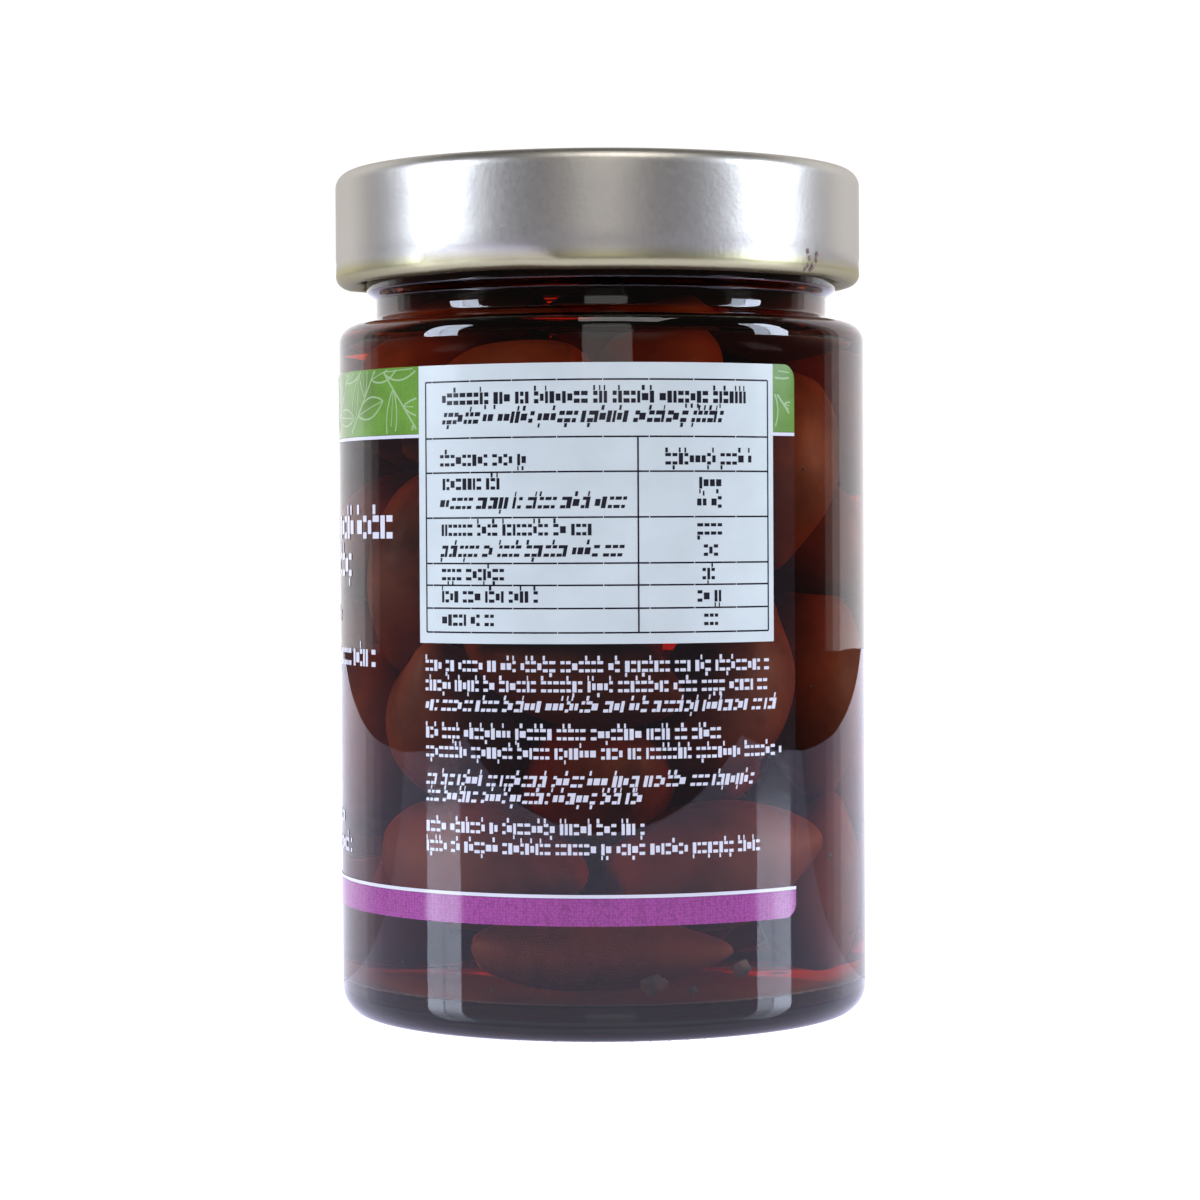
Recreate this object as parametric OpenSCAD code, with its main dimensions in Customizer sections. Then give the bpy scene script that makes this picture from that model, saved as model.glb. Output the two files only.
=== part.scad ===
// Jar of olives: a round glass jar of brine with a wrapped film label and a metal twist-off lid.
// Millimetres, +Z up. The origin is the middle of the base. The label's printed table faces -Y.

/* [Jar] */
// Outside diameter of the straight body
body_d = 73; // [70:0.5:100]
// Height of the shoulder where the neck starts
body_h = 95.9; // [70:0.1:140]
// Thickness of the side wall
wall = 2.3; // [1.8:0.1:3]
// Thickness of the glass under the contents
base_t = 3.4; // [2.5:0.1:5]
// Rise of the underside's middle above the surface that the jar stands on
push_up = 2.2; // [1:0.2:4]
// Width of the flat ring that the jar stands on
bearing_w = 1.6; // [1:0.2:3]
// Outside radius between the base and the side
heel_r = 4; // [3:0.5:6]
// Inside radius between the floor and the side
floor_r = 3.5; // [2:0.5:6]
// Outside radius at the shoulder's edge
shoulder_r = 2.6; // [2:0.1:4]
// How far the shoulder climbs from its rounded edge to the neck
shoulder_rise = 0.35; // [0.1:0.05:1]

/* [Neck and finish] */
// Outside diameter of the finish, the upright collar under the lid
finish_d = 65.2; // [54:0.2:66]
// Height of the finish from the neck to the rim
finish_h = 15.7; // [12:0.1:20]
// Thickness of the finish
finish_wall = 3.2; // [2.6:0.1:4]
// Height of the waist between shoulder and finish
neck_h = 4.3; // [3.5:0.1:7]
// How far the waist is drawn in from the finish
neck_in = 1.3; // [0.6:0.1:1.6]
// Radius where the waist meets the shoulder
neck_r = 0.9; // [0.5:0.1:1.5]
// Radius on the rim's two edges
rim_r = 1.2; // [0.8:0.1:1.3]
// How far the glass threads stand out
thread_out = 1.4; // [0.8:0.1:2]
// Height of a thread at its root
thread_h = 2.4; // [1.8:0.1:3]
// Length of a thread round the finish, in degrees
thread_angle = 52; // [30:1:80]

/* [Lid] */
// Height of the lid from its rolled edge to its top
lid_h = 15.75; // [13:0.05:19]
// Thickness of the lid's sheet metal
lid_t = 0.3; // [0.2:0.05:0.5]
// Clearance between the finish and the inside of the skirt
skirt_gap = 3.5; // [3:0.1:5]
// Radius of the lid's upper edge
lid_edge_r = 2.05; // [1.5:0.05:3]
// Radius of the roll at the lid's lower edge
curl_r = 1.5; // [1:0.05:1.6]
// Number of lugs, and of threads that they hold under
lug_count = 4; // [3:1:6]
// Length of a lug round the lid, in degrees
lug_angle = 24; // [12:1:30]
// Clearance between a lug and the finish
lug_gap = 0.6; // [0.5:0.05:0.8]
// Clearance between the roll and the threads above it
thread_gap = 0.4; // [0.3:0.1:1]
// Clearance between the jar's mouth and the edge of the sunk panel in the lid's top
panel_gap = 0.9; // [0.8:0.1:8]
// Depth of the sunk panel
panel_drop = 0.9; // [0.4:0.1:1.2]
// Thickness of the seal between the rim and the lid's top
seal_t = 0.35; // [0.3:0.05:0.6]
// How far the screwed-down lid sits off the jar's axis, to the left
lid_offset = 0.45; // [0:0.05:0.45]

/* [Contents] */
// Free height between the brine and the rim
headspace = 7.5; // [5:0.5:14]
// Clearance between the contents and the glass
fill_gap = 0.1; // [0.05:0.05:0.3]

/* [Label] */
// Height of the label's lower edge
label_z = 15.7; // [8:0.1:25]
// Distance from the label's upper edge to the neck's start
label_top_gap = 7.2; // [5:0.1:15]
// How far the label goes round the jar, in degrees
label_wrap = 300; // [180:1:340]
// Angle from the front to the label's right-hand end, in degrees
label_end = 44; // [20:1:90]
// Radius of the label's corners
label_corner_r = 2; // [0.5:0.5:5]
// Thickness of the label's film
label_t = 0.1; // [0.05:0.05:0.2]

/* [Hidden] */
$fn = 96;

arc_steps = 8;
front = -90;
lug_phase = -24;
lug_h = 1.8;
lug_slope = 0.4;
thread_slope = 0.5;
root_depth = 0.5;
panel_slope = 0.8;
corner_over = 0.06;

body_r = body_d / 2;
finish_r = finish_d / 2;
waist_r = finish_r - neck_in;
mouth_r = finish_r - finish_wall;
finish_z = body_h + neck_h;
rim_z = finish_z + finish_h;
brine_z = rim_z - headspace;
shoulder_z = body_h - shoulder_rise;
ring_out_r = body_r - heel_r;
ring_in_r = ring_out_r - bearing_w;
floor_z = push_up + base_t;

lid_r = finish_r + skirt_gap + lid_t;
lid_z = rim_z + seal_t + lid_t;
curl_z = lid_z - lid_h + curl_r;
curl_mid_r = lid_r - curl_r;
panel_z = lid_z - panel_drop;
panel_r = mouth_r - panel_gap;
thread_z = curl_z + curl_r + thread_gap;
label_h = body_h - label_top_gap - label_z;

// Points on an arc in the r-z plane, from angle a to angle b
function arc(r, z, radius, a, b) = [
    for (i = [0:arc_steps])
        let (t = a + (b - a) * i / arc_steps)
        [r + radius * cos(t), z + radius * sin(t)]
];

// Underside of the base: a shallow dome that is flat in the middle
function underside() = [
    for (i = [0:arc_steps])
        let (t = i / arc_steps)
        [ring_in_r * t, push_up * (1 - pow(t, 4))]
];

// Soft step outwards from the waist to the finish
function waist_step() = [
    for (i = [0:arc_steps])
        let (t = i / arc_steps)
        [waist_r + neck_in * (1 - cos(180 * t)) / 2, finish_z - neck_in * (1 - t)]
];

// Outside of the glass, from the base up to the rim
function outside() = concat(
    arc(body_r - heel_r, heel_r, heel_r, -90, 0),
    arc(body_r - shoulder_r, shoulder_z - shoulder_r, shoulder_r, 0, 90),
    arc(waist_r + neck_r, body_h + neck_r, neck_r, 270, 180),
    waist_step(),
    arc(finish_r - rim_r, rim_z - rim_r, rim_r, 0, 90)
);

// Inside of the glass from the floor's middle up to height top, pulled in by a gap
function inside(gap, top) =
    let (
        side_r = body_r - wall,
        ceiling_z = body_h - wall,
        edge_z = floor_z - push_up / 2
    )
    concat(
        [[0, floor_z + gap]],
        arc(side_r - floor_r, edge_z + floor_r, floor_r - gap, -90, 0),
        arc(side_r - shoulder_r, ceiling_z - shoulder_r, shoulder_r - gap, 0, 90),
        arc(mouth_r + neck_r, ceiling_z + neck_r, neck_r + gap, 270, 180),
        [[mouth_r - gap, top]]
    );

function reversed(points) = [for (i = [len(points) - 1:-1:0]) points[i]];

// One of a ring of equal pieces, cut from a solid of revolution
module ring_piece(angle, index) {
    start = front + lug_phase + 360 * index / lug_count - angle / 2;
    rotate([0, 0, start])
        rotate_extrude(angle = angle) children();
}

module thread(index) {
    ring_piece(thread_angle, index)
        polygon([
            [finish_r - root_depth, thread_z],
            [finish_r, thread_z],
            [finish_r + thread_out, thread_z + thread_slope],
            [finish_r + thread_out, thread_z + thread_h - thread_slope],
            [finish_r, thread_z + thread_h],
            [finish_r - root_depth, thread_z + thread_h]
        ]);
}

module jar() {
    color([0.86, 0.90, 0.86, 0.35]) {
        rotate_extrude()
            polygon(concat(
                underside(),
                outside(),
                arc(mouth_r + rim_r, rim_z - rim_r, rim_r, 90, 180),
                reversed(inside(0, finish_z))
            ));
        for (i = [0:lug_count - 1]) {
            thread(i);
        }
    }
}

// Half section of the lid's sheet metal, with its rolled lower edge
module lid_section() {
    edge_r = lid_r - lid_edge_r;
    edge_z = lid_z - lid_edge_r;
    polygon(concat(
        [[0, panel_z], [panel_r - panel_slope, panel_z], [panel_r, lid_z]],
        arc(edge_r, edge_z, lid_edge_r, 90, 0),
        arc(curl_mid_r, curl_z, curl_r, 0, -270),
        [[lid_r - lid_t, curl_z + curl_r]],
        arc(edge_r, edge_z, lid_edge_r - lid_t, 0, 90),
        [
            [panel_r + lid_t, lid_z - lid_t],
            [panel_r - panel_slope + lid_t, panel_z - lid_t],
            [0, panel_z - lid_t]
        ]
    ));
}

module lug(index) {
    ring_piece(lug_angle, index)
        polygon([
            [curl_mid_r, curl_z - lug_h / 2],
            [finish_r + lug_gap + lug_slope, curl_z - lug_h / 2],
            [finish_r + lug_gap, curl_z - lug_h / 2 + lug_slope],
            [finish_r + lug_gap, curl_z + lug_h / 2 - lug_slope],
            [finish_r + lug_gap + lug_slope, curl_z + lug_h / 2],
            [curl_mid_r, curl_z + lug_h / 2]
        ]);
}

module lid() {
    color([0.74, 0.72, 0.68])
        translate([-lid_offset, 0, 0]) {
            rotate_extrude() lid_section();
            for (i = [0:lug_count - 1]) {
                lug(i);
            }
        }
}

module brine() {
    color([0.20, 0.08, 0.04])
        rotate_extrude()
            polygon(concat(inside(fill_gap, brine_z), [[0, brine_z]]));
}

// Cuts one corner of the label round. It points right and up for side = 1 and rise = 1, and
// its circle crosses the label's edges corner_over outside them, at a clear angle.
module label_corner(angle, z, side, rise) {
    inset = label_corner_r - corner_over;
    rotate([0, 0, angle])
        translate([0, 0, z])
            mirror([0, side > 0 ? 0 : 1, 0])
                mirror([0, 0, rise > 0 ? 0 : 1])
                    translate([body_r - wall, -inset, -inset])
                        difference() {
                            cube([2 * wall, 2 * label_corner_r, 2 * label_corner_r]);
                            rotate([0, 90, 0]) cylinder(h = 2 * wall, r = label_corner_r);
                        }
}

module label() {
    label_start = label_end - label_wrap;
    color([0.70, 0.76, 0.80, 0.6])
        difference() {
            rotate([0, 0, front + label_start])
                rotate_extrude(angle = label_wrap)
                    translate([body_r, label_z]) square([label_t, label_h]);
            label_corner(front + label_end, label_z + label_h, 1, 1);
            label_corner(front + label_end, label_z, 1, -1);
            label_corner(front + label_start, label_z + label_h, -1, 1);
            label_corner(front + label_start, label_z, -1, -1);
        }
}

jar();
lid();
brine();
label();
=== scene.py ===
"""Jar of olives: a shut glass jar of dark olives in brine, with a film label and a metal lid."""

import math
import random

import bmesh
import bpy
import numpy as np
from mathutils import Euler, Matrix, Vector


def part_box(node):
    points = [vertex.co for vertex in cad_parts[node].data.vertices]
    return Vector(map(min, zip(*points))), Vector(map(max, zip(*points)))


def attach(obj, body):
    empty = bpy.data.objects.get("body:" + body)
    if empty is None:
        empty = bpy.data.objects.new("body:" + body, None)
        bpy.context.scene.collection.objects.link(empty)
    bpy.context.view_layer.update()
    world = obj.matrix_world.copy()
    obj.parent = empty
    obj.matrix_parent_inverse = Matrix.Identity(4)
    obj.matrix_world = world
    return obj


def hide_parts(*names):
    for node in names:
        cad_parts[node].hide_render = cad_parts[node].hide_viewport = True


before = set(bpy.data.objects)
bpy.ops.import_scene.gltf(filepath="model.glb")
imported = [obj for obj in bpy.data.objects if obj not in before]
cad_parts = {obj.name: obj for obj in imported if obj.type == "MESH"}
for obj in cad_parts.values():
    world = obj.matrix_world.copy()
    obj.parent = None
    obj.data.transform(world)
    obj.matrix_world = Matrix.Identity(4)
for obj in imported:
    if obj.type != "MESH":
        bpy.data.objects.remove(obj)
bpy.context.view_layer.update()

bl_info = {
    "name": "Jar of olives",
    "version": (1, 0, 0),
    "blender": (4, 5, 0),
    "location": "3D View > Sidebar > Olive jar",
    "description": "Builds a glass jar of olives round its packed frame",
    "category": "Add Mesh",
}

MM = 0.001

JAR_LOW, JAR_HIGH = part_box("jar")
LID_LOW, LID_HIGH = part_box("lid")
BRINE_LOW, BRINE_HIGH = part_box("brine")
LABEL_LOW, LABEL_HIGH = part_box("label")

# All of the sizes below are in millimetres
BODY_R = JAR_HIGH.x / MM
RIM_Z = JAR_HIGH.z / MM
FILL_R = BRINE_HIGH.x / MM + 0.1
FILL_Z = BRINE_HIGH.z / MM
LID_R = (LID_HIGH.x - LID_LOW.x) / 2 / MM
LID_X = (LID_HIGH.x + LID_LOW.x) / 2 / MM
LID_Z = LID_HIGH.z / MM
CURL_LOW_Z = LID_LOW.z / MM
LABEL_R = -LABEL_LOW.y / MM
LABEL_LOW_Z = LABEL_LOW.z / MM
LABEL_HIGH_Z = LABEL_HIGH.z / MM

FINISH_R = 32.6
WAIST_R = 31.3
MOUTH_R = 29.4
NECK_Z = 95.9
FINISH_Z = 100.2
RING_IN_R = 30.9
FLOOR_Z = 5.6
FLOOR_EDGE_Z = 4.5
CEILING_Z = 93.6
HEEL_R = 4.0
SHOULDER_R = 2.6
SHOULDER_RISE = 0.35
NECK_CURVE_R = 0.9
RIM_CURVE_R = 1.2
CURL_R = 1.5
CURL_MID_Z = CURL_LOW_Z + CURL_R

# Angles are in degrees from the front, with + towards +X
LABEL_START = -256.0
LABEL_END = 44.0
LUG_PHASE = -24.0
LUG_SPACING = 90.0

GLASS_IOR = 1.5
BRINE_IOR = 1.34


# ---------------------------------------------------------------- settings


def colour_property(name, description, default):
    return bpy.props.FloatVectorProperty(
        name=name, description=description, default=default, subtype="COLOR", size=3
    )


class JarSizes(bpy.types.PropertyGroup):
    segments: bpy.props.IntProperty(
        name="Segments", description="Steps round the glass", default=400, min=80
    )
    bump_height: bpy.props.FloatProperty(
        name="Bump height", description="Height of the grip bumps under the base",
        default=0.35 * MM, unit="LENGTH",
    )
    tint: colour_property("Glass tint", "Colour of the glass", (0.95, 0.97, 0.90))


class ContentSizes(bpy.types.PropertyGroup):
    olive_count: bpy.props.IntProperty(
        name="Olives", description="Number of olives in the jar", default=42, min=1
    )
    olive_thickness: bpy.props.FloatProperty(
        name="Olive thickness", description="Thickness of an olive across its middle",
        default=18.0 * MM, unit="LENGTH",
    )
    skin: colour_property("Olive skin", "Colour of the olives' skin", (0.23, 0.062, 0.036))
    brine: colour_property("Brine", "Colour that light keeps in the brine", (0.93, 0.66, 0.35))
    brine_density: bpy.props.FloatProperty(
        name="Brine density", description="How fast the brine takes light up, per metre",
        default=250.0, min=0.0,
    )


class LidSizes(bpy.types.PropertyGroup):
    metal: colour_property("Lid metal", "Colour of the lid's metal", (0.64, 0.605, 0.54))
    roughness: bpy.props.FloatProperty(
        name="Satin", description="Roughness of the lid's satin metal",
        default=0.38, min=0.0, max=1.0, subtype="FACTOR",
    )


class LabelColours(bpy.types.PropertyGroup):
    panel: colour_property("Panel", "Colour of the table's pale panel", (0.755, 0.83, 0.775))
    green: colour_property("Upper band", "Colour of the green band", (0.16, 0.33, 0.05))
    magenta: colour_property("Lower band", "Colour of the magenta band", (0.33, 0.05, 0.25))
    ink: colour_property("Dark ink", "Colour of the table's rules and rows", (0.02, 0.02, 0.028))


class StageSizes(bpy.types.PropertyGroup):
    side_light: bpy.props.FloatProperty(
        name="Side lights", description="Strength of the two upright side lights",
        default=14.0, min=0.0,
    )
    back_light: bpy.props.FloatProperty(
        name="Back light", description="Strength of the wide light behind the jar",
        default=1.3, min=0.0,
    )


# ---------------------------------------------------------------- mesh helpers


def clear_selection():
    if bpy.context.mode != "OBJECT":
        bpy.ops.object.mode_set(mode="OBJECT")
    bpy.ops.object.select_all(action="DESELECT")


def make_active(piece):
    clear_selection()
    piece.select_set(True)
    bpy.context.view_layer.objects.active = piece


def bake_place(piece):
    make_active(piece)
    bpy.ops.object.transform_apply(location=True, rotation=True, scale=True)


def take(name):
    """Names the object that an operator has just added and bakes its place into its mesh."""
    piece = bpy.context.view_layer.objects.active
    piece.name = name
    piece.data.name = name
    bake_place(piece)
    return piece


def apply_modifiers(piece):
    make_active(piece)
    for modifier in list(piece.modifiers):
        bpy.ops.object.modifier_apply(modifier=modifier.name)


def smooth(piece, degrees=40.0):
    make_active(piece)
    bpy.ops.object.shade_smooth_by_angle(angle=math.radians(degrees))


def join(pieces, name):
    clear_selection()
    for piece in pieces:
        piece.select_set(True)
    bpy.context.view_layer.objects.active = pieces[0]
    if len(pieces) > 1:
        bpy.ops.object.join()
    joined = bpy.context.view_layer.objects.active
    joined.name = name
    joined.data.name = name
    return joined


def lathe(name, outline, segments, centre_x=0.0, closed=False):
    """Extrudes and resizes a circle along an outline of (radius, height) points in millimetres."""
    clear_selection()
    pole_r = 0.01
    same = 0.002
    radius, height = outline[0]
    radius = max(radius, pole_r)
    bpy.ops.mesh.primitive_circle_add(
        vertices=segments, radius=radius * MM, location=(centre_x * MM, 0, height * MM)
    )
    piece = take(name)
    bpy.ops.object.mode_set(mode="EDIT")
    bpy.ops.mesh.select_all(action="SELECT")
    if outline[0][0] < pole_r and not closed:
        bpy.ops.mesh.extrude_region_move()
        bpy.ops.mesh.merge(type="CENTER")
        bpy.ops.mesh.select_all(action="DESELECT")
        select_vertices(piece, lambda co: (
            abs(axis_distance(co, centre_x) - radius) < same and abs(co.z / MM - height) < same
        ))
    for next_r, next_z in outline[1:]:
        wanted = max(next_r, pole_r)
        bpy.ops.mesh.extrude_region_move(
            TRANSFORM_OT_translate={"value": (0, 0, (next_z - height) * MM)}
        )
        if abs(wanted - radius) > 1e-9:
            scale = wanted / radius
            bpy.ops.transform.resize(
                value=(scale, scale, 1), center_override=(centre_x * MM, 0, next_z * MM)
            )
        radius, height = wanted, next_z
    if outline[-1][0] < pole_r and not closed:
        bpy.ops.mesh.extrude_region_move()
        bpy.ops.mesh.merge(type="CENTER")
    bpy.ops.mesh.select_all(action="SELECT")
    if closed:
        bpy.ops.mesh.remove_doubles(threshold=same * MM)
    bpy.ops.mesh.normals_make_consistent(inside=False)
    bpy.ops.object.mode_set(mode="OBJECT")
    return piece


def select_vertices(piece, wanted):
    """Selects, in edit mode, the vertices whose places pass a test."""
    mesh = bmesh.from_edit_mesh(piece.data)
    for vertex in mesh.verts:
        vertex.select_set(wanted(vertex.co))
    mesh.select_flush(True)
    bmesh.update_edit_mesh(piece.data)


def arc(centre_r, centre_z, radius, start, end, steps=8):
    """Points on an arc in the outline's plane, with angles in degrees."""
    return [
        (
            centre_r + radius * math.cos(math.radians(start + (end - start) * i / steps)),
            centre_z + radius * math.sin(math.radians(start + (end - start) * i / steps)),
        )
        for i in range(steps + 1)
    ]


def axis_distance(point, centre_x=0.0):
    """Distance from an upright axis, in millimetres."""
    return math.hypot(point.x - centre_x * MM, point.y) / MM


def turn_of(point, centre_x=0.0):
    """Degrees round the upright axis from the front, with + towards +X."""
    return math.degrees(math.atan2(point.x - centre_x * MM, -point.y))


def turn_from_lug(point, centre_x=0.0):
    """Degrees round to the middle of the nearest lug or thread."""
    half = LUG_SPACING / 2
    return abs((turn_of(point, centre_x) - LUG_PHASE + half) % LUG_SPACING - half)


def set_round(piece, turn, radius, z, centre_x=0.0):
    """Turns a piece from the front to its place round the upright axis, in millimetres."""
    a = math.radians(turn)
    spot = Vector((radius * math.sin(a) + centre_x, -radius * math.cos(a), z)) * MM
    piece.data.transform(Matrix.Rotation(a, 4, "Z"))
    piece.data.transform(Matrix.Translation(spot))


def roughen(piece, grain, strength):
    """Adds an uneven surface of cloudy noise, in the units of the piece's mesh."""
    clouds = bpy.data.textures.new(f"{piece.name} unevenness", "CLOUDS")
    clouds.noise_scale = grain
    uneven = piece.modifiers.new("unevenness", "DISPLACE")
    uneven.texture = clouds
    uneven.strength = strength


def rough_ball(name, grain, strength, spin=0.0):
    """A rough ball about 1 mm across, for a crumb or a spot."""
    clear_selection()
    bpy.ops.mesh.primitive_ico_sphere_add(subdivisions=3, radius=0.5 * MM)
    ball = take(name)
    ball.data.transform(Matrix.Rotation(spin, 4, "Y"))
    roughen(ball, grain, strength)
    apply_modifiers(ball)
    return ball


def wrap(piece, radius):
    """Bends flat print round the jar. The print lies in the XZ plane with the front at x = 0."""
    xs = [v.co.x for v in piece.data.vertices]
    bend = piece.modifiers.new("wrap", "SIMPLE_DEFORM")
    bend.deform_method = "BEND"
    bend.deform_axis = "Z"
    bend.angle = (max(xs) - min(xs)) / (radius * MM)
    apply_modifiers(piece)
    piece.location.y = -radius * MM
    bake_place(piece)


def thicken(piece, thickness):
    """Gives flat print a thickness towards the viewer's side, -Y."""
    wall = piece.modifiers.new("thickness", "SOLIDIFY")
    wall.thickness = thickness * MM
    wall.offset = 1.0
    apply_modifiers(piece)


# ---------------------------------------------------------------- node helpers


def shade(colour, *factors):
    """A colour times one factor, or times one factor for each channel."""
    if len(factors) == 1:
        factors = factors * 3
    return tuple(channel * factor for channel, factor in zip(colour, factors))


def add_node(nodes, kind, sockets=None):
    """Adds a shader node and sets some of its sockets."""
    node = nodes.new(f"ShaderNode{kind}")
    for socket, value in (sockets or {}).items():
        node.inputs[socket].default_value = value
    return node


class Recipe:
    """A new material, with short ways to add to its nodes."""

    def __init__(self, name, sockets):
        self.material = bpy.data.materials.new(name)
        self.material.use_nodes = True
        self.nodes = self.material.node_tree.nodes
        self.link = self.material.node_tree.links.new
        self.shader = next(n for n in self.nodes if n.type == "BSDF_PRINCIPLED")
        self.output = next(n for n in self.nodes if n.type == "OUTPUT_MATERIAL")
        for socket, value in sockets.items():
            self.shader.inputs[socket].default_value = value

    def place(self, scale=(1, 1, 1)):
        """The place on the object, in metres."""
        place = add_node(self.nodes, "TexCoord")
        mapping = add_node(self.nodes, "Mapping", {"Scale": scale})
        self.link(place.outputs["Object"], mapping.inputs["Vector"])
        return mapping.outputs["Vector"]

    def noise(self, vector, scale, detail=3.0, roughness=0.5):
        texture = add_node(
            self.nodes, "TexNoise", {"Scale": scale, "Detail": detail, "Roughness": roughness}
        )
        self.link(vector, texture.inputs["Vector"])
        return texture.outputs["Fac"]

    def ramp(self, factor, stops):
        """A colour ramp from (place, colour) stops."""
        node = add_node(self.nodes, "ValToRGB")
        elements = node.color_ramp.elements
        while len(elements) < len(stops):
            elements.new(0.5)
        for element, (place, colour) in zip(elements, stops):
            element.position = place
            element.color = (*colour, 1.0)
        self.link(factor, node.inputs["Fac"])
        return node.outputs["Color"]

    def spread(self, factor, low, high):
        """Maps a 0 to 1 factor to the range low to high."""
        node = add_node(self.nodes, "MapRange", {"To Min": low, "To Max": high})
        self.link(factor, node.inputs["Value"])
        return node.outputs["Result"]

    def bump(self, height, strength, distance):
        node = add_node(self.nodes, "Bump", {"Strength": strength, "Distance": distance})
        self.link(height, node.inputs["Height"])
        self.link(node.outputs["Normal"], self.shader.inputs["Normal"])

    def feed(self, source, socket):
        """Links a source to one of the main shader's sockets."""
        self.link(source, self.shader.inputs[socket])

    def let_light_in(self):
        """Lets the lights reach what is inside, straight through the surface."""
        ray = add_node(self.nodes, "LightPath")
        clear = add_node(self.nodes, "BsdfTransparent")
        mix = add_node(self.nodes, "MixShader")
        self.link(ray.outputs["Is Shadow Ray"], mix.inputs["Fac"])
        self.link(self.shader.outputs["BSDF"], mix.inputs[1])
        self.link(clear.outputs["BSDF"], mix.inputs[2])
        self.link(mix.outputs["Shader"], self.output.inputs["Surface"])


# ---------------------------------------------------------------- materials


def glass_material(name, ior, tint, roughness, tone):
    """Clear soda glass with the faint waviness of a moulded jar."""
    # A tone below 1 darkens the glass's tint: painted shade, not the colour of the glass.
    recipe = Recipe(name, {
        "Base Color": (*shade(tint, tone), 1), "Transmission Weight": 1.0, "IOR": ior,
        "Roughness": roughness,
    })
    waves = recipe.noise(recipe.place((1, 1, 0.35)), 90.0, 2.0)
    recipe.bump(waves, 0.06, 0.4 * MM)
    recipe.let_light_in()
    return recipe.material


def brine_material(name, ior, colour, density):
    """Dark brine. Its side and bottom bend no light, because the glass's own inside does."""
    recipe = Recipe(name, {
        "Base Color": (1, 1, 1, 1), "Transmission Weight": 1.0, "IOR": ior, "Roughness": 0.0,
    })
    if ior <= 1.01:
        recipe.shader.inputs["Specular IOR Level"].default_value = 0.0
    absorb = add_node(
        recipe.nodes, "VolumeAbsorption", {"Color": (*colour, 1), "Density": density}
    )
    recipe.link(absorb.outputs["Volume"], recipe.output.inputs["Volume"])
    recipe.let_light_in()
    return recipe.material


def olive_material(colour):
    """Smooth wet skin with darker and redder patches."""
    recipe = Recipe("olive skin", {"IOR": 1.2})
    place = recipe.place()
    patches = recipe.noise(place, 70.0, 4.0, 0.6)
    recipe.feed(recipe.ramp(patches, [
        (0.30, shade(colour, 0.45)), (0.52, colour), (0.75, shade(colour, 1.5, 1.35, 1.1)),
    ]), "Base Color")
    fine = recipe.noise(place, 900.0, 2.0)
    recipe.feed(recipe.spread(fine, 0.35, 0.55), "Roughness")
    recipe.bump(fine, 0.12, 0.15 * MM)
    return recipe.material


def patchy_material(name, scale, detail, grain, stops, roughness, strength, distance):
    """A rough finish in patches of a few colours, for crumbs and smudges."""
    recipe = Recipe(name, {"Roughness": roughness})
    patches = recipe.noise(recipe.place(), scale, detail, grain)
    recipe.feed(recipe.ramp(patches, stops), "Base Color")
    recipe.bump(patches, strength, distance)
    return recipe.material


def sediment_material():
    return patchy_material("olive crumbs", 600.0, 3.0, 0.5, [
        (0.35, (0.006, 0.003, 0.002)), (0.6, (0.045, 0.010, 0.005)), (0.8, (0.10, 0.022, 0.010)),
    ], 0.6, 0.4, 0.2 * MM)


def stain_material():
    return patchy_material("brown smudge", 2500.0, 4.0, 0.7, [
        (0.35, (0.14, 0.07, 0.05)), (0.65, (0.36, 0.25, 0.20)),
    ], 0.7, 0.3, 0.05 * MM)


def lid_material(colour, roughness):
    """Satin tinplate under clear lacquer, with the orange peel of rolled sheet."""
    recipe = Recipe("satin lid metal", {
        "Metallic": 1.0, "Specular Tint": (0.55, 0.54, 0.52, 1),
    })
    place = recipe.place()
    grain = recipe.noise(place, 1500.0, 3.0, 0.6)
    peel = recipe.noise(place, 500.0, 2.0)
    broad = recipe.noise(place, 40.0, 2.0)
    tone = recipe.ramp(broad, [(0.3, shade(colour, 0.96)), (0.7, shade(colour, 1.03))])
    height = add_node(recipe.nodes, "SeparateXYZ")
    recipe.link(place, height.inputs["Vector"])
    low = add_node(recipe.nodes, "MapRange", {"From Min": 104.0 * MM, "From Max": 102.2 * MM})
    low.interpolation_type = "SMOOTHSTEP"
    recipe.link(height.outputs["Z"], low.inputs["Value"])
    warm = add_node(recipe.nodes, "Mix")
    warm.data_type = "RGBA"
    first, second, mixed = warm.inputs[6], warm.inputs[7], warm.outputs[2]
    recipe.link(low.outputs["Result"], warm.inputs["Factor"])
    recipe.link(tone, first)
    second.default_value = (*shade(colour, 0.84, 0.82, 0.54), 1)
    recipe.feed(mixed, "Base Color")
    recipe.feed(recipe.spread(grain, roughness - 0.04, roughness + 0.05), "Roughness")
    both = add_node(recipe.nodes, "Math")
    both.operation = "ADD"
    recipe.link(grain, both.inputs[0])
    recipe.link(peel, both.inputs[1])
    recipe.bump(both.outputs["Value"], 0.35, 0.05 * MM)
    return recipe.material


def film_material():
    """Clear film: a faint haze over the glass."""
    recipe = Recipe("clear film", {"Alpha": 0.04, "Roughness": 0.5, "Specular IOR Level": 0.0})
    haze = recipe.noise(recipe.place(), 60.0, 2.0)
    tone = recipe.ramp(haze, [(0.3, (0.10, 0.09, 0.10)), (0.7, (0.16, 0.14, 0.15))])
    recipe.feed(tone, "Base Color")
    return recipe.material


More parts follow.
